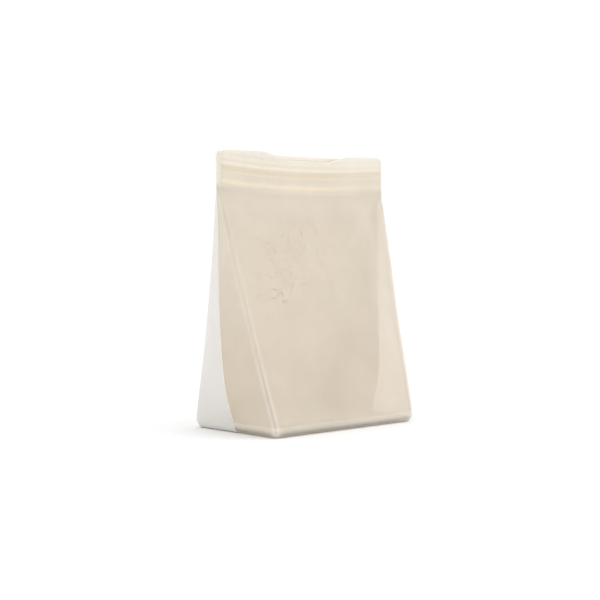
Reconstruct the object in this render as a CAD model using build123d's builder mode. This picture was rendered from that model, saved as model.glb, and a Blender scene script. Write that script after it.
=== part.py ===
"""Stand-up reusable silicone food bag with a double press-to-close zip.

Millimetres, +Z up, +Y towards the back of the bag. The origin is the middle of the base, on the
surface that the bag stands on. Two moulded shells meet in a seam that runs up the middle of each
side and across the base: the front shell is translucent and the back shell is opaque. The soft
fold lines between the faces of a shell are kept as boundaries between nodes.
"""
from build123d import *
import math
import os

os.makedirs("parts", exist_ok=True)

# Driving dimensions
BASE_WIDTH = 155.6          # across the base, left to right
BASE_DEPTH = 97.4           # across the base, front to back
BASE_CORNER = 6.0           # plan radius of the base corners
BASE_ROLL = 5.0             # radius of the edge where the walls roll under into the base
HEIGHT = 220.0              # floor to the top of the lips
TOP_WIDTH = 183.0           # width of the flat closed top
FILM = 1.0                  # wall thickness of both shells
BASE_FILM = 1.6             # wall thickness of the base and its rolled edge
ROLL_EDGE = 6.5             # width of the rolled edge, with a little of the flat base
RIM_HEIGHT = 8.0            # top of the rolled edge
SEAL_Z = 189.0              # where the leaning walls turn into the flat top
SEAL_HALF = 3.0             # middle plane to the outer face of the closed top
SIDE_CURVE = 29.0           # height over which the sides swell out above the rim
SEAM_HALF = 1.0             # half the width of the bonded seam
SEAM_PROUD = 0.4            # how far the seam stands out from the sides
WELD_X = 86.5               # inner edge of the weld that closes each end of the zip
WELD_CORNER = 5.0           # radius of the top corners
GAP = 0.3                   # clearance between a moving wall and what stands still

# Corner folds between the walls and the gussets, at the rim and at the seal
FOLD_WIDTH = (6.5, TOP_WIDTH / 2 - 1.2 - WELD_X)
FOLD_RADIUS = (5.5, 1.2)
FOLD_X = (BASE_WIDTH / 2, TOP_WIDTH / 2 - 1.2)
FOLD_Y = (BASE_DEPTH / 2, SEAL_HALF)

# Zip
SAG = 4.0                   # dip of the zip lines in the middle, over the half width of the top
STRIP_TOP = 207.7           # top of the welded zip strips, in the middle
STRIP = 1.8                 # zip strip with its film
TRACK_Z = {"upper": 202.6, "lower": 193.8}
RIB_HEIGHT = 2.2
RIB_REACH = 1.8             # how far a rib stands out from the front strip
CHANNEL_CLEARANCE = 0.6
CHANNEL_WALL = 0.9
CHANNEL_REACH = 1.7         # how far the channel walls stand out from the back strip
CHANNEL_FLOOR = 0.2

# Lips above the zip
SCOOP_TOP = 44.0            # half widths of the finger scoop at its top and bottom
SCOOP_BOTTOM = 21.0
SCOOP_DEPTH = 7.0
BACK_LIP_DIP = 2.3

GUSSET_STATIONS = [RIM_HEIGHT, 23.0, 40.0, 62.0, 90.0, 130.0, SEAL_Z]
SIDES = {"left": -1, "right": 1}
HALVES = {"front": -1, "back": 1}
WALL_HALF = WELD_X - GAP    # half width of the zip strips and lips
FLAT_WIDTH = BASE_WIDTH - 2 * ROLL_EDGE                 # flat part of each half of the base
FLAT_DEPTH = BASE_DEPTH / 2 - ROLL_EDGE - SEAM_HALF


def along_fold(ends, z):
    """A value that runs straight from the top of the rim to the bottom of the seal."""
    t = (z - RIM_HEIGHT) / (SEAL_Z - RIM_HEIGHT)
    return ends[0] + (ends[1] - ends[0]) * t


def seam_x(z):
    """Half width of the bag at the side seams."""
    swell = math.exp(-max(z - RIM_HEIGHT, 0.0) / SIDE_CURVE)
    return TOP_WIDTH / 2 - (TOP_WIDTH - BASE_WIDTH) / 2 * swell


def dip(x):
    """How much lower a zip line is in the middle than at x."""
    return SAG * (x / (TOP_WIDTH / 2)) ** 2


def save(part, name):
    part.label = name
    export_step(part, f"parts/{name}.step")


def wall_panel(half):
    """The leaning front or back wall, from just above the rim to the seal."""
    with BuildPart() as panel:
        for z in (RIM_HEIGHT + GAP, SEAL_Z):
            x = along_fold(FOLD_X, z) - along_fold(FOLD_WIDTH, z) - GAP
            y = along_fold(FOLD_Y, z)
            with BuildSketch(Plane.XY.offset(z)):
                with BuildLine():
                    Polyline((-x, half * y), (x, half * y), (x, half * (y - FILM)),
                             (-x, half * (y - FILM)), close=True)
                make_face()
        loft(ruled=True)
    return panel.part


def corner_fold(side, half):
    """The rounded fold between a wall and a gusset, which tightens towards the top."""
    with BuildPart() as fold:
        for z in (RIM_HEIGHT, SEAL_Z):
            x = along_fold(FOLD_X, z)
            y = along_fold(FOLD_Y, z)
            width = along_fold(FOLD_WIDTH, z)
            radius = along_fold(FOLD_RADIUS, z)
            centre_x, centre_y = x - radius, y - radius
            diagonal = math.sqrt(0.5)
            inner = radius - FILM
            with BuildSketch(Plane.XY.offset(z)):
                with BuildLine():
                    Line((side * (x - width), half * y), (side * centre_x, half * y))
                    ThreePointArc(
                        (side * centre_x, half * y),
                        (side * (centre_x + radius * diagonal), half * (centre_y + radius * diagonal)),
                        (side * x, half * centre_y))
                    Line((side * x, half * centre_y), (side * (x - FILM), half * centre_y))
                    ThreePointArc(
                        (side * (x - FILM), half * centre_y),
                        (side * (centre_x + inner * diagonal), half * (centre_y + inner * diagonal)),
                        (side * centre_x, half * (y - FILM)))
                    Line((side * centre_x, half * (y - FILM)), (side * (x - width), half * (y - FILM)))
                    Line((side * (x - width), half * (y - FILM)), (side * (x - width), half * y))
                make_face()
        loft(ruled=True)
    return fold.part


def gusset_half(side, half):
    """The half of a side gusset that belongs to one shell, from the fold to the seam."""
    with BuildPart() as gusset:
        for z in GUSSET_STATIONS:
            fold_x = along_fold(FOLD_X, z)
            fold_y = along_fold(FOLD_Y, z) - along_fold(FOLD_RADIUS, z)
            seam = seam_x(z)
            with BuildSketch(Plane.XY.offset(z)):
                with BuildLine():
                    Polyline((side * fold_x, half * fold_y), (side * seam, half * SEAM_HALF),
                             (side * (seam - FILM), half * SEAM_HALF),
                             (side * (fold_x - FILM), half * fold_y), close=True)
                make_face()
        loft(ruled=True)
    return gusset.part


def side_seam(side):
    """The bonded seam up the middle of a side, from the rolled edge to the seal."""
    with BuildPart() as seam:
        for z in GUSSET_STATIONS:
            x = seam_x(z)
            with BuildSketch(Plane.XY.offset(z)):
                with Locations((side * (x + (SEAM_PROUD - BASE_FILM) / 2), 0)):
                    Rectangle(BASE_FILM + SEAM_PROUD, 2 * SEAM_HALF)
        loft(ruled=True)
    return seam.part


def base_tray():
    """The whole base with its rolled edge, as one shallow tray."""
    inner_roll = BASE_ROLL - BASE_FILM
    with BuildPart() as tray:
        with BuildSketch():
            RectangleRounded(BASE_WIDTH, BASE_DEPTH, BASE_CORNER)
        extrude(amount=RIM_HEIGHT)
        fillet(tray.edges().group_by(Axis.Z)[0], BASE_ROLL)
    with BuildPart() as hollow:
        with BuildSketch(Plane.XY.offset(BASE_FILM)):
            RectangleRounded(BASE_WIDTH - 2 * BASE_FILM, BASE_DEPTH - 2 * BASE_FILM,
                             BASE_CORNER - BASE_FILM)
        extrude(amount=RIM_HEIGHT)
        fillet(hollow.edges().group_by(Axis.Z)[0], inner_roll)
    return tray.part - hollow.part


def base_half(tray, half):
    """Half of the flat base, from the base seam to the rolled edge."""
    with BuildPart() as base:
        add(tray)
        with Locations((0, half * (SEAM_HALF + FLAT_DEPTH / 2), 0)):
            Box(FLAT_WIDTH, FLAT_DEPTH, 4 * BASE_FILM, mode=Mode.INTERSECT)
    return base.part


def rim_half(tray, half):
    """The rolled edge round half of the base."""
    depth = BASE_DEPTH / 2 - SEAM_HALF
    with BuildPart() as rim:
        add(tray)
        with Locations((0, half * (SEAM_HALF + depth / 2), RIM_HEIGHT / 2)):
            Box(BASE_WIDTH, depth, RIM_HEIGHT, mode=Mode.INTERSECT)
        with Locations((0, half * (SEAM_HALF + FLAT_DEPTH / 2), 0)):
            Box(FLAT_WIDTH, FLAT_DEPTH, 4 * BASE_FILM, mode=Mode.SUBTRACT)
    return rim.part


def sagging_band(bottom, top, near, far):
    """A band along the zip between two dipping lines, from y = near to y = far."""
    rise = dip(WALL_HALF)
    with BuildPart() as band:
        with BuildSketch(Plane.XZ.offset(-near)):
            with BuildLine():
                ThreePointArc((-WALL_HALF, bottom + rise), (0, bottom), (WALL_HALF, bottom + rise))
                Line((WALL_HALF, bottom + rise), (WALL_HALF, top + rise))
                ThreePointArc((WALL_HALF, top + rise), (0, top), (-WALL_HALF, top + rise))
                Line((-WALL_HALF, top + rise), (-WALL_HALF, bottom + rise))
            make_face()
        extrude(amount=near - far)
    return band.part


def zip_strip(half):
    """The flat strip that carries the tracks, with the film of the wall it is welded to."""
    rise = dip(WALL_HALF)
    outer = half * SEAL_HALF
    with BuildPart() as strip:
        with BuildSketch(Plane.XZ.offset(-outer)):
            with BuildLine():
                Polyline((-WALL_HALF, STRIP_TOP + rise), (-WALL_HALF, SEAL_Z),
                         (WALL_HALF, SEAL_Z), (WALL_HALF, STRIP_TOP + rise))
                ThreePointArc((WALL_HALF, STRIP_TOP + rise), (0, STRIP_TOP),
                              (-WALL_HALF, STRIP_TOP + rise))
            make_face()
        extrude(amount=half * STRIP)
    return strip.part


def end_weld(side):
    """The flat weld that joins both shells at one end of the zip."""
    outer = TOP_WIDTH / 2
    with BuildPart() as weld:
        with BuildSketch(Plane.XZ.offset(-SEAL_HALF)):
            with Locations((side * (WELD_X + outer) / 2, (SEAL_Z + HEIGHT) / 2)):
                Rectangle(outer - WELD_X, HEIGHT - SEAL_Z)
        extrude(amount=2 * SEAL_HALF)
        top_edge = weld.edges().filter_by(Axis.Y).group_by(Axis.Z)[-1].sort_by(Axis.X)
        fillet(top_edge[-1 if side > 0 else 0], WELD_CORNER - GAP)
    return weld.part


# Sides and base: everything that stands still
tray = base_tray()
for half_name, half in HALVES.items():
    save(base_half(tray, half), f"base_{half_name}")
    save(rim_half(tray, half), f"rim_{half_name}")
    for side_name, side in SIDES.items():
        save(gusset_half(side, half), f"gusset_{half_name}_{side_name}")
        save(corner_fold(side, half), f"corner_fold_{half_name}_{side_name}")

with BuildPart() as base_seam:
    add(tray)
    with Locations((0, 0, RIM_HEIGHT / 2)):
        Box(BASE_WIDTH, 2 * SEAM_HALF, RIM_HEIGHT, mode=Mode.INTERSECT)
save(base_seam.part, "base_seam")

for side_name, side in SIDES.items():
    save(side_seam(side), f"side_seam_{side_name}")
    save(end_weld(side), f"end_weld_{side_name}")

# Front wall and back wall: the leaning panels and their zip strips
for half_name, half in HALVES.items():
    save(wall_panel(half), f"{half_name}_panel")
    save(zip_strip(half), f"{half_name}_zip_strip")

# Tracks: a rib on the front strip runs in a channel on the back strip
front_face = -(SEAL_HALF - STRIP)
back_face = SEAL_HALF - STRIP
for track_name, middle in TRACK_Z.items():
    rib_bottom = middle - RIB_HEIGHT / 2
    rib_top = middle + RIB_HEIGHT / 2
    save(sagging_band(rib_bottom, rib_top, front_face, front_face + RIB_REACH),
         f"male_track_{track_name}")

    inner_low = rib_bottom - CHANNEL_CLEARANCE
    inner_high = rib_top + CHANNEL_CLEARANCE
    channel_floor = back_face - CHANNEL_FLOOR
    outside = sagging_band(inner_low - CHANNEL_WALL, inner_high + CHANNEL_WALL,
                           back_face - CHANNEL_REACH, back_face)
    hollow = sagging_band(inner_low, inner_high, back_face - CHANNEL_REACH, channel_floor)
    with BuildPart() as female_track:
        add(outside)
        add(hollow, mode=Mode.SUBTRACT)
    save(female_track.part, f"female_track_{track_name}")

# Front lip: two ears with a finger scoop between them
lip_foot = STRIP_TOP + dip(WALL_HALF)
scoop_bend = (SCOOP_TOP - SCOOP_BOTTOM) / 2
scoop_z = HEIGHT - SCOOP_DEPTH
with BuildPart() as front_lip:
    with BuildSketch(Plane.XZ.offset(SEAL_HALF)):
        with BuildLine():
            ThreePointArc((-WALL_HALF, lip_foot), (0, STRIP_TOP), (WALL_HALF, lip_foot))
            Polyline((WALL_HALF, lip_foot), (WALL_HALF, HEIGHT), (SCOOP_TOP, HEIGHT))
            Bezier((SCOOP_TOP, HEIGHT), (SCOOP_TOP - scoop_bend, HEIGHT),
                   (SCOOP_BOTTOM + scoop_bend, scoop_z), (SCOOP_BOTTOM, scoop_z))
            Line((SCOOP_BOTTOM, scoop_z), (-SCOOP_BOTTOM, scoop_z))
            Bezier((-SCOOP_BOTTOM, scoop_z), (-SCOOP_BOTTOM - scoop_bend, scoop_z),
                   (-SCOOP_TOP + scoop_bend, HEIGHT), (-SCOOP_TOP, HEIGHT))
            Polyline((-SCOOP_TOP, HEIGHT), (-WALL_HALF, HEIGHT), (-WALL_HALF, lip_foot))
        make_face()
    extrude(amount=-FILM)
save(front_lip.part, "front_lip")

# Back lip: plain, with a slightly dipping top edge
with BuildPart() as back_lip:
    with BuildSketch(Plane.XZ.offset(-SEAL_HALF)):
        with BuildLine():
            ThreePointArc((-WALL_HALF, lip_foot), (0, STRIP_TOP), (WALL_HALF, lip_foot))
            Line((WALL_HALF, lip_foot), (WALL_HALF, HEIGHT))
            ThreePointArc((WALL_HALF, HEIGHT), (0, HEIGHT - BACK_LIP_DIP), (-WALL_HALF, HEIGHT))
            Line((-WALL_HALF, HEIGHT), (-WALL_HALF, lip_foot))
        make_face()
    extrude(amount=FILM)
save(back_lip.part, "back_lip")
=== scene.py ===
import math

import bmesh
import bpy
import numpy as np
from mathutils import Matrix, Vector


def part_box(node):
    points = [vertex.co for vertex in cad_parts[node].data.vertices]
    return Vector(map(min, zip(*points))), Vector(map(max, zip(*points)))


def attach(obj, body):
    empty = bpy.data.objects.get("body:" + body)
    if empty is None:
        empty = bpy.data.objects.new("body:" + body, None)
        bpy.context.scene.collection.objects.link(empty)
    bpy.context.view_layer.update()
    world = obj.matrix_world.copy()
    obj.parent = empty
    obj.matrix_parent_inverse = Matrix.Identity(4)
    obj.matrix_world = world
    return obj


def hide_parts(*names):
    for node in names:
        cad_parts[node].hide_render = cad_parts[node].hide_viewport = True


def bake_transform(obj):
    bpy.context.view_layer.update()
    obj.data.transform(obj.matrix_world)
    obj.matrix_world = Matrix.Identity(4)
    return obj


# Metres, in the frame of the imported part: +Z up, +Y towards the opaque back, origin under the base.
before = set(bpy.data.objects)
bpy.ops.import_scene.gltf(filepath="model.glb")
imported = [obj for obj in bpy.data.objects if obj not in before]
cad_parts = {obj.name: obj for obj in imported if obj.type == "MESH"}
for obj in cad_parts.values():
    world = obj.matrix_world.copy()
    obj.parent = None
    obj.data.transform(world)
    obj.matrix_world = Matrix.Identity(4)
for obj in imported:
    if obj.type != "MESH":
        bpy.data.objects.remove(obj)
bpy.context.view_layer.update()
MM = 0.001
STILL, FRONT, BACK = "sides_and_base", "front_wall", "back_wall"
FRONT_SIGN, BACK_SIGN = -1, 1

# Places read from the frame
BASE_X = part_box("rim_front")[1].x
BASE_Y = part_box("rim_back")[1].y
RIM_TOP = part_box("rim_front")[1].z
BASE_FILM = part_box("base_front")[1].z
SEAL_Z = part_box("end_weld_right")[0].z
WELD_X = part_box("end_weld_right")[0].x
TOP_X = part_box("end_weld_right")[1].x
TOP_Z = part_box("front_lip")[1].z
TOP_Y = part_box("back_lip")[1].y
FILM = TOP_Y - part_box("back_lip")[0].y
STRIP_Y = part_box("back_zip_strip")[0].y
TRACK_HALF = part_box("male_track_upper")[1].x

# Shape of the shells. The bag stands a little unevenly, as soft things do.
FOLD_TOP_X = TOP_X - 1.2 * MM
FOLD_RADIUS = (5.0 * MM, 1.2 * MM)              # at the rim and at the seal
FOLD_SLACK = {-1: 1.5 * MM, 1: 4.4 * MM}        # front and back folds lie flatter half way up
SLACK_TAKEN_UP = {-1: 0, 1: 0.25}               # share of it that is gone again at the top
SIDE_CURVE = 29 * MM
RIGHT_TUCK = 4.5 * MM                           # the right gusset is drawn in along its seam
ROLL_IN = 4.0 * MM                              # width of the rolled edge under the base
ROLL_STEPS = 14
ROLL_INNER = 6.5 * MM                           # width of the fillet inside the rolled edge
SAG = {-1: 5.0 * MM, 1: 3.4 * MM}               # dip of the zip lines, from the left and right ends
WELD_CORNER = 6.5 * MM
END_PINCH = 0.35                                # the films draw together at the end welds by this share
SCOOP_TOP = {-1: 44 * MM, 1: 53 * MM}           # half widths of the finger scoop, left and right
SCOOP_BOTTOM, SCOOP_DEPTH = 21 * MM, 6.6 * MM
RIGHT_EAR_DROP = 1.3 * MM
BACK_DIP = 2.3 * MM
PANEL_BULGE = 3.0 * MM
LEAN = Vector((-2.0 * MM, 2.1 * MM)) / TOP_Z    # sideways drift of the top, for each metre of height

# Heights of the zip's lines in the middle of the bag
STRIP_LOW, STRIP_HIGH = 190.6 * MM, 207.6 * MM
TRACKS = {"upper": 202.6 * MM, "lower": 193.8 * MM}
UPPER_LINE, LOWER_LINE = 201.7 * MM, 191.7 * MM

# Lines along the zip on the outside of the film: height, half width and strength (in mm for the relief)
RELIEF_LINES = ((206.0 * MM, 1.3 * MM, 0.08), (UPPER_LINE, 1.6 * MM, 0.15), (LOWER_LINE, 1.8 * MM, 0.20))
THICK_LINES = ((206.0 * MM, 1.3 * MM, 0.10), (208.5 * MM, 1.3 * MM, -0.10), (213.5 * MM, 1.6 * MM, -0.08),
               (199.8 * MM, 1.0 * MM, 0.10), (LOWER_LINE, 1.8 * MM, 0.26))
WARM_LINES = ((UPPER_LINE, 1.5 * MM, 0.42), (LOWER_LINE, 2.4 * MM, 0.25))
STRIP_LIFT = 0.12 * MM                          # how far the film stands out over the zip strip
WAVE_HEIGHT = 0.35 * MM
FOLD_LIFT, FOLD_WIDTH = 0.25 * MM, 2.2 * MM     # the bead along a fold, and where its bands lie

# How solid the front shell looks, from 0 for plain film to 1
ZIP_THICKNESS, LIP_THICKNESS, WELD_THICKNESS = 0.36, 0.18, 0.72
FOLD_THICKNESS_AND_HIGHLIGHT = (0.36, 0.05)                   # at the base and at 160 mm; the bands along the folds are partly thicker film, partly a painted highlight
LEFT_GUSSET_THICKNESS, RIGHT_GUSSET_THICKNESS = 0.25, 0.12
RIM_THICKNESS, BASE_THICKNESS = 0.15, 0.75
ZIP_WARMTH = 0.32

# The bond between the shells
BEAD_DEPTH, BEAD_SINK, BEAD_WIDTH = 0.8 * MM, 0.65 * MM, 0.6 * MM
BEAD_TAPER = 15 * MM                            # it thins out over this height, up to the end weld

# Grid of a shell
PANEL_COLS, CORNER_COLS, GUSSET_COLS = 54, 14, 26
WALL_ROWS, FINE_ROWS, SEAL_ROWS, EDGE_ROWS, BASE_ROWS = 108, 30, 76, 5, 12


def smoothstep(x):
    x = np.clip(x, 0, 1)
    return x * x * (3 - 2 * x)


def ramp(value, start, end):
    """0 before start, 1 after end and smooth between them. It may run downwards."""
    return smoothstep((value - start) / (end - start))


def lerp(a, b, t):
    return a + (b - a) * t


# ---------------------------------------------------------------- shape formulas

def seam_x(z, side):
    """Half width of the bag at a side seam."""
    x = TOP_X - (TOP_X - BASE_X) * np.exp(-np.maximum(z - RIM_TOP, 0) / SIDE_CURVE)
    if side > 0:
        x -= RIGHT_TUCK * ramp(z, 30 * MM, 100 * MM) * ramp(z, SEAL_Z, SEAL_Z - 12 * MM)
    return x


def quarter(fold_x, fold_y, radius, side_x, bulge):
    """One quarter of a level section, from the middle of a wall round the fold to the side seam."""
    panel = np.linspace(0, fold_x - radius, PANEL_COLS, endpoint=False)
    share = panel / (fold_x - radius)
    panel_y = fold_y + bulge * (1 - share ** 2) ** 2

    gusset_y = np.linspace(fold_y - radius, 0, GUSSET_COLS + 1)
    inward = gusset_y / max(fold_y, 1e-9)
    gusset_x = fold_x + (side_x - fold_x) * lerp(1 - inward, np.cos(math.pi / 2 * inward), 0.5)

    t = np.linspace(0, 1, CORNER_COLS, endpoint=False)
    start = np.array([fold_x - radius, fold_y])
    end = np.array([gusset_x[0], gusset_y[0]])
    corner = np.array([fold_x, fold_y])
    arc = np.outer((1 - t) ** 2, start) + np.outer(2 * t * (1 - t), corner) + np.outer(t ** 2, end)
    return np.concatenate([np.stack([panel, panel_y], 1), arc, np.stack([gusset_x, gusset_y], 1)])


def section(fold_x, fold_y, radius, seams, bulge, z, sign):
    """A level section of one shell, from the left seam round to the right seam."""
    left = quarter(fold_x, fold_y, radius, seams[0], bulge)[:0:-1] * [-1, 1]
    right = quarter(fold_x, fold_y, radius, seams[1], bulge)
    outline = np.concatenate([left, right])
    return np.column_stack([outline[:, 0], sign * outline[:, 1], np.broadcast_to(z, len(outline))])


def lip_top(x, sign):
    """Height of the top edge of the front or back lip at x."""
    away = np.abs(x)
    corner = np.clip(away - (TOP_X - WELD_CORNER), 0, WELD_CORNER)
    top = TOP_Z - (WELD_CORNER - np.sqrt(WELD_CORNER ** 2 - corner ** 2))
    top -= RIGHT_EAR_DROP * ramp(x, 0, 60 * MM)
    if sign == BACK_SIGN:
        return top - BACK_DIP * np.clip(1 - (away / TRACK_HALF) ** 2, 0, 1)
    scoop_top = np.where(x < 0, SCOOP_TOP[-1], SCOOP_TOP[1])
    return top - SCOOP_DEPTH * (1 - ramp(away, SCOOP_BOTTOM, scoop_top))


def zip_rise(x):
    """How much higher a zip line is at x than in the middle of the bag."""
    return np.where(x < 0, SAG[-1], SAG[1]) * (x / TOP_X) ** 2


def ridge(distance, width):
    return np.exp(-(distance / width) ** 2)


def between(low, high, value, soft):
    return ramp(value, low, low + soft) * ramp(value, high, high - soft)


def lines(level, table):
    return sum(strength * ridge(level - height, width) for height, width, strength in table)


def short_of_ends(x):
    """1 along the zip, running out to 0 just short of both ends of the bag."""
    return ramp(np.abs(x), TOP_X - 1.2 * MM, TOP_X - 4.2 * MM)


def zip_relief(x, z):
    """How far the wall stands out over the zip strip and its tracks."""
    level = z - zip_rise(x)
    strip = STRIP_LIFT * between(STRIP_LOW, STRIP_HIGH, level, 3.0 * MM)
    return short_of_ends(x) * (strip + lines(level, RELIEF_LINES) * MM)


def waves(x, z):
    """Soft unevenness of the film, level at the middle line where the halves of a wall meet."""
    away = 1 - np.exp(-(x / (14 * MM)) ** 2)
    low = ramp(z, RIM_TOP, RIM_TOP + 15 * MM) * ramp(z, SEAL_Z, SEAL_Z - 20 * MM)
    wave = (np.sin(x / (17 * MM) + z / (41 * MM) + 0.7) * np.sin(z / (23 * MM) + 1.1)
            + 0.6 * np.sin(x / (9.5 * MM) - z / (31 * MM)) * np.sin(z / (37 * MM) + 2.0))
    return WAVE_HEIGHT * away * low * wave


def from_fold(grid):
    """Distance along each row from the nearer fold line, less than 0 on the wall's side of it."""
    steps = np.linalg.norm(np.diff(grid, axis=1), axis=2)
    run = np.concatenate([np.zeros((len(grid), 1)), np.cumsum(steps, axis=1)], axis=1)
    middle = grid.shape[1] // 2
    reach = PANEL_COLS + CORNER_COLS // 2
    left = run[:, middle - reach, None] - run
    right = run - run[:, middle + reach, None]
    return np.where(np.arange(grid.shape[1]) < middle, left, right)


def fold_relief(grid):
    """A low bead along each fold, which runs out towards the top."""
    z = grid[..., 2]
    firm = ramp(z, 150 * MM, 0) * ramp(z, RIM_TOP, RIM_TOP + 14 * MM)
    return FOLD_LIFT * firm * ridge(from_fold(grid), FOLD_WIDTH)


def fold_bands(fold):
    """The folded film shows as a soft light band, with firmer edges on both sides of the fold: partly the
    thicker folded film, partly a painted highlight.
    """
    edges = ridge(fold + FOLD_WIDTH, 1.2 * MM) + ridge(fold - FOLD_WIDTH, 1.2 * MM)
    return 0.35 * edges + 0.65 * ridge(fold, 3.0 * MM)


def front_layers(grid):
    """Paint layers of the front shell.

    The solidity layer is 0 for plain film and 1 for solid silicone, and its bands along the folds are partly
    a painted highlight; warmth is a tan tint; the grey layer is painted shade, a cool grey line along the
    folds.
    """
    x, z = grid[..., 0], grid[..., 2]
    level = z - zip_rise(x)
    fold = from_fold(grid)
    below_seal = ramp(z, SEAL_Z, SEAL_Z - 20 * MM)
    zip_zone = ramp(level, STRIP_LOW - 6.5 * MM, STRIP_LOW + 0.5 * MM)
    ends = ramp(np.abs(x), WELD_X - 4 * MM, WELD_X + 4 * MM) * zip_zone
    faint = short_of_ends(x) * (1 - 0.6 * ramp(x, 10 * MM, 70 * MM))     # the lines fade to the right

    thickness_and_painted_light = ZIP_THICKNESS * zip_zone + LIP_THICKNESS * ramp(level, 203.5 * MM, 206.5 * MM)
    thickness_and_painted_light += 0.06 * ramp(z, 120 * MM, 180 * MM) + 0.12 * ramp(level, 164 * MM, 186 * MM)
    thickness_and_painted_light += faint * lines(level, THICK_LINES)
    thickness_and_painted_light = np.maximum(thickness_and_painted_light, WELD_THICKNESS * ends)
    # Light bands along the folds: partly thicker folded film, partly a painted highlight
    thickness_and_painted_light += lerp(*FOLD_THICKNESS_AND_HIGHLIGHT, ramp(z, 0, 160 * MM)) * below_seal * fold_bands(fold)
    thickness_and_painted_light += RIM_THICKNESS * ridge(z - RIM_TOP, 1.2 * MM)
    # The left gusset is milkier higher up, and the right one lower down
    gusset = np.where(x < 0, LEFT_GUSSET_THICKNESS * ramp(z, 60 * MM, 150 * MM),
                      RIGHT_GUSSET_THICKNESS * ramp(z, 70 * MM, 10 * MM))
    thickness_and_painted_light += ramp(fold, 0, 3 * MM) * gusset
    # The wall is milkier too, just short of the right fold
    thickness_and_painted_light += 0.12 * ridge(x - 66 * MM, 11 * MM) * ramp(z, 50 * MM, 120 * MM) * below_seal

    warmth = ZIP_WARMTH * zip_zone * ramp(level, 217 * MM, 204 * MM) + faint * lines(level, WARM_LINES)
    warmth *= 1 - 0.2 * ends

    # Painted shade: a cool grey line along each fold low down, and a second one just inside the right fold
    second_line = 0.6 * ramp(x, 0, 20 * MM) * ridge(fold + 4.2 * MM, 0.9 * MM)
    painted_shade = 0.45 * ramp(z, 130 * MM, 0) * below_seal * (ridge(fold, 0.9 * MM) + second_line)
    return {"thickness_and_painted_light": np.clip(thickness_and_painted_light, 0, 1), "warmth": np.clip(warmth, 0, 1), "painted_shade": painted_shade}


def rim_layers(tray):
    """Paint layers of the rolled edge of the front shell: more solid silicone on top, painted cool grey shade
    lower down, and painted tan shade and reflection underneath.
    """
    z = tray[..., 2]
    low = ramp(z, 0, 3 * MM)
    fold = from_fold(tray)
    knob = ridge(fold, 4.5 * MM)
    rolled = np.arange(len(tray))[:, None] <= ROLL_STEPS
    thickness_and_painted_light = 0.30 * between(4.0 * MM, 9.5 * MM, z, 1.2 * MM) + 0.55 * ridge(z - 2.8 * MM, 1.3 * MM)
    thickness_and_painted_light += 0.45 * ridge(z, 1.1 * MM) + 0.2 * low * fold_bands(fold) + 0.22 * knob
    # Painted shade: a cool grey band low on the rolled edge and a line along the fold; the tan at the bottom
    # is painted shade and reflection where it meets the floor
    painted_shade = 0.85 * ridge(z - 2.7 * MM, 1.4 * MM) * (1 - 0.6 * knob) + 0.25 * low * ridge(fold, 0.8 * MM)
    flat = ~rolled & (z < 1.5 * BASE_FILM)
    return {"thickness_and_painted_light": np.clip(rolled * thickness_and_painted_light + BASE_THICKNESS * flat, 0, 1),
            "warmth": rolled * 0.8 * ridge(z, 1.2 * MM), "painted_shade": np.clip(rolled * painted_shade, 0, 1)}


# ---------------------------------------------------------------- meshes

def pinch(x, z):
    """Share of the depth that is left where the end welds draw the two films together."""
    outward = ramp(np.abs(x), TRACK_HALF - 1 * MM, TOP_X - 1 * MM)
    return 1 - END_PINCH * outward * ramp(z, SEAL_Z - 14 * MM, SEAL_Z)


def relax(grid, rounds):
    """Softens the creases of a grid. Its first row stays where it is."""
    for _ in range(rounds):
        inner = grid.copy()
        inner[1:-1] = 0.25 * grid[:-2] + 0.5 * grid[1:-1] + 0.25 * grid[2:]
        grid = inner.copy()
        grid[1:, 1:-1] = 0.25 * inner[1:, :-2] + 0.5 * inner[1:, 1:-1] + 0.25 * inner[1:, 2:]
    return grid


def unit(vectors):
    return vectors / np.maximum(np.linalg.norm(vectors, axis=-1, keepdims=True), 1e-12)


def grid_normals(grid):
    return unit(np.cross(np.gradient(grid, axis=1), np.gradient(grid, axis=0)))


def grid_mesh(name, grid, material, wrap=False, flip=False, capped=False, layers=None):
    """A smooth mesh over a grid of points. wrap closes it round its columns, and capped its last row."""
    grid = np.array(grid, dtype=float)
    rows, cols = grid.shape[:2]
    grid[..., :2] += grid[..., 2:] * np.array(LEAN)
    index = np.arange(rows * cols).reshape(rows, cols)
    if wrap:
        index = np.concatenate([index, index[:, :1]], 1)
    faces = np.stack([index[:-1, :-1], index[:-1, 1:], index[1:, 1:], index[1:, :-1]], -1).reshape(-1, 4)
    faces = faces[:, ::-1].tolist() if flip else faces.tolist()
    if capped:
        last = index[-1, :cols].tolist()
        faces.append(last[::-1] if flip else last)
    mesh = bpy.data.meshes.new(name)
    mesh.from_pydata(grid.reshape(-1, 3).tolist(), [], faces)
    for layer, values in (layers or {}).items():
        mesh.attributes.new(layer, "FLOAT", "POINT").data.foreach_set("value", values.ravel())

    tidy = bmesh.new()
    tidy.from_mesh(mesh)
    bmesh.ops.remove_doubles(tidy, verts=tidy.verts, dist=0.001 * MM)
    bmesh.ops.dissolve_degenerate(tidy, edges=tidy.edges, dist=0.0005 * MM)
    tidy.to_mesh(mesh)
    tidy.free()
    mesh.shade_smooth()
    mesh.materials.append(material)
    piece = bpy.data.objects.new(name, mesh)
    bpy.context.scene.collection.objects.link(piece)
    return piece


def ring(inset, z, sign):
    """A level section of the base or its rolled edge, drawn in by inset."""
    x, y = BASE_X - inset, max(BASE_Y - inset, 0.01 * MM)
    radius = min(max(FOLD_RADIUS[0] - 0.4 * inset, 2 * MM), y)
    return section(x, y, radius, (x, x), 0, z, sign)


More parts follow.
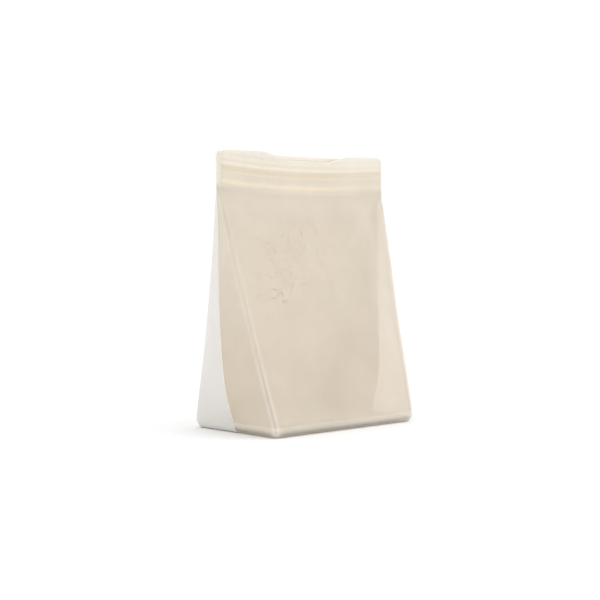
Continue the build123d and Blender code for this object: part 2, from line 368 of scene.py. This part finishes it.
def shell_grid(sign):
    """Outer surface of one shell, from the left seam to the right seam: its rolled edge, then its wall."""
    turn = np.linspace(math.pi / 2, 0, ROLL_STEPS, endpoint=False)
    rows = [ring(ROLL_IN * (1 - math.cos(a)), RIM_TOP * (1 - math.sin(a)), sign) for a in turn]
    fine_z = SEAL_Z - 16 * MM                   # from here up, where the zip dips, the rows are closer
    heights = np.concatenate([np.linspace(RIM_TOP, fine_z, WALL_ROWS, endpoint=False),
                              np.linspace(fine_z, SEAL_Z, FINE_ROWS, endpoint=False)])
    for z in heights:
        t = (z - RIM_TOP) / (SEAL_Z - RIM_TOP)
        middling = math.sin(math.pi * t)
        slack = FOLD_SLACK[sign] * middling * (1 - SLACK_TAKEN_UP[sign] * t)
        rows.append(section(lerp(BASE_X, FOLD_TOP_X, t), lerp(BASE_Y, TOP_Y, t) - slack,
                            lerp(*FOLD_RADIUS, t ** 0.6), (seam_x(z, -1), seam_x(z, 1)),
                            PANEL_BULGE * middling ** 1.2, z, sign))
    flat = section(FOLD_TOP_X, TOP_Y, FOLD_RADIUS[1], (TOP_X, TOP_X), 0, SEAL_Z, sign)
    for share in np.linspace(0, 1, SEAL_ROWS):
        row = flat.copy()
        row[:, 2] = lerp(SEAL_Z, lip_top(flat[:, 0], sign), share)
        rows.append(row)
    grid = relax(np.array(rows), 4)
    grid[..., 1] *= pinch(grid[..., 0], grid[..., 2])
    grid[:, [0, -1], 1] = 0
    grid[ROLL_STEPS, :, 2] = RIM_TOP
    return grid[:ROLL_STEPS + 1], grid[ROLL_STEPS:]


def carried_over(values):
    """A layer of the outer grid, carried over the top edge and down the inner face."""
    return np.concatenate([values, np.repeat(values[-1:], EDGE_ROWS, 0), values[::-1]])


def with_thickness(grid, sign, film):
    """The outer grid, carried over a rounded top edge and down the inner face."""
    out = -grid_normals(grid) * sign
    inner = grid - out * film
    inner[:, [0, -1], 1] = 0
    inner[0, :, 2] = RIM_TOP
    away = unit(np.cross(np.gradient(grid[-1], axis=0), out[-1])) * sign
    middle = (grid[-1] + inner[-1]) / 2
    half = (grid[-1] - inner[-1]) / 2
    size = np.linalg.norm(half, axis=1, keepdims=True)
    edge = []
    for angle in np.linspace(0, math.pi, EDGE_ROWS + 2)[1:-1]:
        edge.append(middle + half * math.cos(angle) + away * size * math.sin(angle))
    return np.concatenate([grid, np.array(edge), inner[::-1]])


# ---------------------------------------------------------------- materials

SILICONE_IOR = 1.41
MOST_SOLID = 0.97                               # the thickest part of the front shell lets a little through
DUSTY_SPOT = (-35 * MM, -25 * MM, 140 * MM)     # the dust is thickest around here
DUST = (0.36, 0.23, 0.13, 1)
TAN = (0.90, 0.76, 0.55)
CLOUDING = 0.04                                 # how much darker the silicone is in places
# Colour of the painted shade on the folds, the rolled edge and the lower back shell
PAINTED_SHADE_GREY = (0.35, 0.36, 0.37)


def node(tree, kind, inputs=None, **settings):
    """Adds a shader node, sets it up, and links or fills its inputs."""
    made = tree.nodes.new(kind)
    for name, value in settings.items():
        setattr(made, name, value)
    for name, value in (inputs or {}).items():
        if isinstance(value, bpy.types.NodeSocket):
            tree.links.new(value, made.inputs[name])
        else:
            made.inputs[name].default_value = value
    return made


def map_range(tree, value, low, high, from_min=0.0, from_max=1.0):
    made = node(tree, "ShaderNodeMapRange", {"Value": value, "From Min": from_min, "From Max": from_max,
                                             "To Min": low, "To Max": high})
    return made.outputs["Result"]


def calculate(tree, operation, *values, clamp=False):
    made = node(tree, "ShaderNodeMath", dict(enumerate(values)), operation=operation, use_clamp=clamp)
    return made.outputs["Value"]


def mix_colour(tree, factor, a, b, blend="MIX"):
    made = node(tree, "ShaderNodeMix", {"Factor": factor, "A": a, "B": b}, data_type="RGBA", blend_type=blend)
    return made.outputs["Result"]


def speck_mask(tree, where, strength):
    """Fine dust in the silicone: tiny dots, thicker in some areas."""
    cells = node(tree, "ShaderNodeTexVoronoi", {"Vector": where, "Scale": 330}).outputs["Distance"]
    bunches = node(tree, "ShaderNodeTexNoise", {"Vector": where, "Scale": 15, "Detail": 2}).outputs["Fac"]
    away = node(tree, "ShaderNodeVectorMath", {0: where, 1: DUSTY_SPOT}, operation="DISTANCE")
    spread = map_range(tree, away.outputs["Value"], 1.0, 0.40, 35 * MM, 100 * MM)
    size = map_range(tree, bunches, 0.08, 0.24, 0.35, 0.65)
    limit = calculate(tree, "MULTIPLY", size, spread)
    return map_range(tree, calculate(tree, "LESS_THAN", cells, limit), 0.0, strength)


def make_film(name, thin, thick_and_painted_light, warm, clear=None, haze=1.0, roughness=0.4, specks=0.0):
    """Moulded silicone. Its thickness layer makes it more solid, and on the back shell it mixes in painted
    warm shade instead; its warmth layer tints it, and its grey layer paints a cool grey shade.

    clear is the tint of what shows through plain film, and haze the share of it that is milky. A haze
    of less than 0.3 renders with thin dark lines.
    """
    material = bpy.data.materials.new(name)
    material.use_nodes = True
    tree = material.node_tree
    shader = tree.nodes["Principled BSDF"]
    shader.inputs["IOR"].default_value = SILICONE_IOR
    shader.inputs["Coat Weight"].default_value = 0.25
    shader.inputs["Coat Roughness"].default_value = 0.18
    shader.inputs["Coat IOR"].default_value = SILICONE_IOR

    where = node(tree, "ShaderNodeTexCoord").outputs["Object"]
    fine = node(tree, "ShaderNodeTexNoise", {"Vector": where, "Scale": 1500, "Detail": 3}).outputs["Fac"]
    broad = node(tree, "ShaderNodeTexNoise", {"Vector": where, "Scale": 26, "Detail": 5}).outputs["Fac"]
    thickness_and_painted_light, warmth, painted_shade = (node(tree, "ShaderNodeAttribute", attribute_name=layer).outputs["Fac"]
                                for layer in ("thickness_and_painted_light", "warmth", "painted_shade"))

    colour = mix_colour(tree, thickness_and_painted_light, (*thin, 1), (*thick_and_painted_light, 1))
    colour = mix_colour(tree, warmth, colour, (*warm, 1))
    # Painted shade: the colour is mixed towards a cool grey
    colour = mix_colour(tree, painted_shade, colour, (*PAINTED_SHADE_GREY, 1))
    tone = map_range(tree, broad, 1 - CLOUDING, 1.0, 0.3, 0.7)
    colour = mix_colour(tree, 1.0, colour, tone, "MULTIPLY")
    dust = speck_mask(tree, where, specks)
    colour = mix_colour(tree, dust, colour, DUST)
    tree.links.new(colour, shader.inputs["Base Color"])

    tree.links.new(map_range(tree, broad, roughness - 0.06, roughness + 0.08), shader.inputs["Roughness"])
    bump = node(tree, "ShaderNodeBump", {"Height": fine, "Strength": 0.03, "Distance": 0.3 * MM})
    tree.links.new(bump.outputs["Normal"], shader.inputs["Normal"])
    if clear:
        milky = map_range(tree, broad, haze - 0.01, haze + 0.02, 0.3, 0.7)
        rest = map_range(tree, thickness_and_painted_light, 0.0, MOST_SOLID - haze)
        solid = calculate(tree, "MULTIPLY_ADD", dust, 0.5, calculate(tree, "ADD", milky, rest), clamp=True)
        window = node(tree, "ShaderNodeBsdfTransparent", {"Color": (*clear, 1)})
        mixed = node(tree, "ShaderNodeMixShader", {0: solid, 1: window.outputs["BSDF"],
                                                   2: shader.outputs["BSDF"]})
        tree.links.new(mixed.outputs["Shader"], tree.nodes["Material Output"].inputs["Surface"])
    return material


front_film = make_film("clear_silicone", (0.86, 0.79, 0.69), (0.915, 0.875, 0.785), TAN,
                       clear=(0.980, 0.966, 0.944), haze=0.34, roughness=0.34, specks=0.9)
# On the opaque shell the thick colour is painted warm shade, and the warm colour is painted warm light on the
# inner face
back_film = make_film("opaque_silicone", (0.79, 0.76, 0.715), (0.74, 0.58, 0.45), (0.98, 0.915, 0.81),
                      roughness=0.42)
seam_film = make_film("bonded_silicone", (0.82, 0.78, 0.71), (0.90, 0.86, 0.80), TAN)
track_film = make_film("track_silicone", (0.94, 0.90, 0.82), (0.90, 0.83, 0.72), TAN, roughness=0.33)


# ---------------------------------------------------------------- shells, rims and base

ZIP_SHARE = {FRONT_SIGN: 1.0, BACK_SIGN: 1.5}    # the zip shows more on the back, which has no lines
PAINTED_WARM_LIGHT_INSIDE = 0.75                             # painted warm light on the inner face of the back shell


def bend_with(piece):
    """Bakes the piece's transform into its mesh."""
    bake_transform(piece)


def stay_with(piece, slot, *nodes):
    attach(piece, STILL)
    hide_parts(*nodes)


def inside_only(outer):
    """A layer that is 0 on the outer face and 1 on the inner face."""
    values = carried_over(np.zeros(outer.shape[:2]))
    values[len(outer) + EDGE_ROWS // 2:] = 1
    return values


def tray_grid(roll, sign):
    """Rolled edge and base of one shell: down the outside, then back over the inside."""
    turn = np.linspace(0, math.pi / 2, ROLL_STEPS)
    outer = [ring(inset, 0, sign) for inset in np.linspace(ROLL_IN, BASE_Y, BASE_ROWS)[1:]]
    inner = [ring(inset, BASE_FILM, sign)
             for inset in np.linspace(BASE_Y, FILM + ROLL_INNER, BASE_ROWS)[:-1]]
    inner += [ring(FILM + ROLL_INNER * (1 - math.cos(a)), lerp(RIM_TOP, BASE_FILM, math.sin(a)), sign)
              for a in turn[::-1]]
    return np.concatenate([roll[::-1], outer, inner])


for sign, half, wall, material in ((FRONT_SIGN, "front", FRONT, front_film),
                                   (BACK_SIGN, "back", BACK, back_film)):
    roll, smooth_grid = shell_grid(sign)
    out = -grid_normals(smooth_grid) * sign
    x, z = smooth_grid[..., 0], smooth_grid[..., 2]
    lift = ZIP_SHARE[sign] * zip_relief(x, z) + fold_relief(smooth_grid) + waves(x, z)
    lift[:, [0, -1]] = 0
    outer = smooth_grid + out * lift[..., None]
    grid = with_thickness(outer, sign, FILM)
    if sign == FRONT_SIGN:
        layers = {name: carried_over(values) for name, values in front_layers(outer).items()}
    else:
        # Painted shade low on the back shell: darker outside towards the bottom, and darker and browner
        # inside
        low = carried_over(ramp(outer[..., 2], 130 * MM, 10 * MM))
        inside = inside_only(outer)
        layers = {"warmth": PAINTED_WARM_LIGHT_INSIDE * inside, "thickness_and_painted_light": 0.8 * low * inside,
                  "painted_shade": 0.11 * low * (1 - inside)}
    middle = grid.shape[1] // 2
    for side_name, side, columns in (("left", -1, slice(0, middle + 1)), ("right", 1, slice(middle, None))):
        shell = grid_mesh(f"{half}_shell_{side_name}", grid[:, columns], material, flip=sign == BACK_SIGN,
                          layers={name: values[:, columns] for name, values in layers.items()})
        bend_with(shell)
        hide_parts(f"{half}_panel", f"{half}_lip", f"gusset_{half}_{side_name}",
                    f"corner_fold_{half}_{side_name}")

    tray = tray_grid(roll, sign)
    if sign == FRONT_SIGN:
        layers = rim_layers(tray)
    else:
        # The back base has painted warm light on its inner face and painted shade outside
        inside = np.broadcast_to(np.arange(len(tray))[:, None] > ROLL_STEPS + BASE_ROWS - 1, tray.shape[:2])
        layers = {"warmth": PAINTED_WARM_LIGHT_INSIDE * inside, "painted_shade": 0.13 * ~inside}
    base = grid_mesh(f"{half}_base", tray, material, flip=sign == FRONT_SIGN, layers=layers)
    stay_with(base, f"{half}_film", f"base_{half}", f"rim_{half}")


# ---------------------------------------------------------------- zip

def swept(name, profile, side, material):
    """A profile of (y, z) points swept along the zip from the middle to one end, dipping with it."""
    profile = np.array(profile)
    rows = []
    for x in side * np.linspace(0, TRACK_HALF, 70):
        rows.append(np.column_stack([np.full(len(profile), x), profile[:, 0], profile[:, 1] + zip_rise(x)]))
    return grid_mesh(name, rows, material, wrap=True, flip=side < 0, capped=True)


def rounded_bar(y0, y1, z0, z1, radius, steps=4):
    """A rounded rectangle of (y, z) points."""
    points = []
    corners = ((y1 - radius, z1 - radius), (y0 + radius, z1 - radius),
               (y0 + radius, z0 + radius), (y1 - radius, z0 + radius))
    for turn, (y, z) in enumerate(corners):
        for step in range(steps + 1):
            angle = math.pi / 2 * (turn + step / steps)
            points.append((y + radius * math.cos(angle), z + radius * math.sin(angle)))
    return points


def channel_outline(z):
    """A U-shaped channel that opens towards the front, with lips that grip the rib."""
    mouth, floor, wall, room = -0.5 * MM, STRIP_Y - 0.2 * MM, 2.6 * MM, 1.7 * MM
    return [(STRIP_Y, z - wall), (STRIP_Y, z + wall), (mouth + 0.3 * MM, z + wall),
            (mouth, z + wall - 0.3 * MM), (mouth, z + room), (floor, z + room),
            (floor, z - room), (mouth, z - room), (mouth, z - wall + 0.3 * MM),
            (mouth + 0.3 * MM, z - wall)]


for side_name, side in (("left", -1), ("right", 1)):
    for half, sign, wall in (("front", FRONT_SIGN, FRONT), ("back", BACK_SIGN, BACK)):
        faces = sorted((sign * STRIP_Y, sign * (TOP_Y - FILM - 0.05 * MM)))
        strip = swept(f"{half}_zip_strip_{side_name}",
                      rounded_bar(*faces, STRIP_LOW, STRIP_HIGH, 0.35 * MM), side, track_film)
        bend_with(strip)
        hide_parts(f"{half}_zip_strip")
    for track, z in TRACKS.items():
        rib = swept(f"male_track_{track}_{side_name}",
                    rounded_bar(-STRIP_Y, 0.6 * MM, z - 1.1 * MM, z + 1.1 * MM, 0.7 * MM), side, track_film)
        bend_with(rib)
        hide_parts(f"male_track_{track}")
        channel = swept(f"female_track_{track}_{side_name}", channel_outline(z), side, track_film)
        bend_with(channel)
        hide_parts(f"female_track_{track}")


# ---------------------------------------------------------------- seams and end welds

def seam_path(side):
    """Outline of half of the bag in the middle plane: down the side, round the roll and under."""
    side_z = np.linspace(SEAL_Z, RIM_TOP, 90)
    upright = np.column_stack([seam_x(side_z, side), side_z])
    turn = np.linspace(0, math.pi / 2, ROLL_STEPS)
    rolled = np.column_stack([BASE_X - ROLL_IN * (1 - np.cos(turn)), RIM_TOP * (1 - np.sin(turn))])
    flat_x = np.linspace(BASE_X - ROLL_IN, 0, 24)[1:]
    under = np.column_stack([flat_x, np.zeros_like(flat_x)])
    return upright, np.concatenate([rolled, under])


def seam_bead(name, path, side, nodes):
    """A low bead along a stretch of the seam, a little proud outside and inside."""
    run = unit(np.gradient(path, axis=0))
    around = np.linspace(0, 2 * math.pi, 14, endpoint=False)
    rows = []
    for (x, z), (run_x, run_z) in zip(path, run):
        size = lerp(0.2, 1.0, ramp(z, SEAL_Z, SEAL_Z - BEAD_TAPER))
        depth = (BEAD_DEPTH * np.sin(around) - BEAD_SINK) * size
        rows.append(np.column_stack([side * (x - run_z * depth), BEAD_WIDTH * size * np.cos(around),
                                     np.maximum(z + run_x * depth, 0.02 * MM)]))
    bead = grid_mesh(name, rows, seam_film, wrap=True, flip=side < 0)
    stay_with(bead, "bonded_film", *nodes)


for side_name, side in (("left", -1), ("right", 1)):
    upright, under = seam_path(side)
    seam_bead(f"side_bead_{side_name}", upright, side, [f"side_seam_{side_name}"])
    seam_bead(f"base_bead_{side_name}", under, side, ["base_seam"])

    # The end weld fills the flat end of the top between the two films, and thins out at its foot
    rows = []
    ear_top = lip_top(side * (TOP_X - WELD_CORNER), BACK_SIGN)
    for z in np.linspace(SEAL_Z, TOP_Z - 0.8 * MM - (RIGHT_EAR_DROP if side > 0 else 0), 40):
        corner = np.clip(z - (ear_top - WELD_CORNER), 0, WELD_CORNER)
        outer_x = TOP_X - 0.9 * MM - (WELD_CORNER - math.sqrt(WELD_CORNER ** 2 - corner ** 2))
        across = np.linspace(max(outer_x, WELD_X + 1.5 * MM), WELD_X, 7)
        half = (TOP_Y * pinch(across, SEAL_Z) - FILM - 0.05 * MM) * ramp(z, SEAL_Z - 1 * MM, SEAL_Z + 4 * MM)
        rows.append([(side * x, y, z) for x, y in zip(across, half)]
                    + [(side * x, -y, z) for x, y in zip(across[::-1], half[::-1])])
    weld = grid_mesh(f"weld_bar_{side_name}", rows, seam_film, wrap=True, flip=side < 0, capped=True)
    stay_with(weld, "bonded_film", f"end_weld_{side_name}")


# ---------------------------------------------------------------- floor, light and camera

FLOOR_REACH = 12
floor_mesh = bpy.data.meshes.new("floor")
floor_mesh.from_pydata([(x * FLOOR_REACH, y * FLOOR_REACH, -0.1 * MM)
                        for x, y in ((-1, -1), (1, -1), (1, 1), (-1, 1))], [], [(0, 1, 2, 3)])
floor = bpy.data.objects.new("floor", floor_mesh)
bpy.context.scene.collection.objects.link(floor)
floor_paint = bpy.data.materials.new("floor_paint")
floor_paint.use_nodes = True
floor_shader = floor_paint.node_tree.nodes["Principled BSDF"]
floor_shader.inputs["Base Color"].default_value = (0.80, 0.80, 0.80, 1)
floor_shader.inputs["Roughness"].default_value = 0.9
floor_shader.inputs["Specular IOR Level"].default_value = 0.1
floor_mesh.materials.append(floor_paint)

# A white studio: bright overhead and along the horizon, softer in between
world = bpy.data.worlds.new("world")
world.use_nodes = True
sky = world.node_tree
height = node(sky, "ShaderNodeSeparateXYZ",
              {"Vector": node(sky, "ShaderNodeTexCoord").outputs["Generated"]}).outputs["Z"]
upper = map_range(sky, height, 1.03, 0.62, 0.20, 0.34)
overhead = map_range(sky, height, 0.0, 1.25, 0.60, 0.80)
sky.nodes["Background"].inputs["Color"].default_value = (1, 1, 1, 1)
sky.links.new(calculate(sky, "ADD", upper, overhead), sky.nodes["Background"].inputs["Strength"])
bpy.context.scene.world = world
bpy.context.scene.view_settings.view_transform = "Standard"


def softbox(name, place, size, power, target=(0, 0, 0.1)):
    lamp = bpy.data.lights.new(name, "AREA")
    lamp.shape = "RECTANGLE"
    lamp.size, lamp.size_y = size
    lamp.energy = power
    box = bpy.data.objects.new(name, lamp)
    box.location = place
    box.rotation_mode = "QUATERNION"
    box.rotation_quaternion = (Vector(target) - Vector(place)).to_track_quat("-Z", "Y")
    bpy.context.scene.collection.objects.link(box)


softbox("key", (0.9, -1.0, 1.9), (1.4, 1.4), 9)
softbox("edge", (-1.25, -0.40, 0.50), (0.22, 1.2), 0.60)

CAMERA_AZIMUTH, CAMERA_ELEVATION = math.radians(-43.23), math.radians(2.757)
CAMERA_DISTANCE, CAMERA_LENS = 1.201, 88.5      # metres, and millimetres
LOOK_AT = Vector((-3.6, 3.4, 101.5)) * MM
camera_data = bpy.data.cameras.new("camera")
camera_data.lens = CAMERA_LENS
camera = bpy.data.objects.new("camera", camera_data)
bpy.context.scene.collection.objects.link(camera)
towards_camera = Vector((math.sin(CAMERA_AZIMUTH) * math.cos(CAMERA_ELEVATION),
                         -math.cos(CAMERA_AZIMUTH) * math.cos(CAMERA_ELEVATION),
                         math.sin(CAMERA_ELEVATION)))
camera.location = LOOK_AT + towards_camera * CAMERA_DISTANCE
camera.rotation_mode = "QUATERNION"
camera.rotation_quaternion = (-towards_camera).to_track_quat("-Z", "Y")
bpy.context.scene.camera = camera
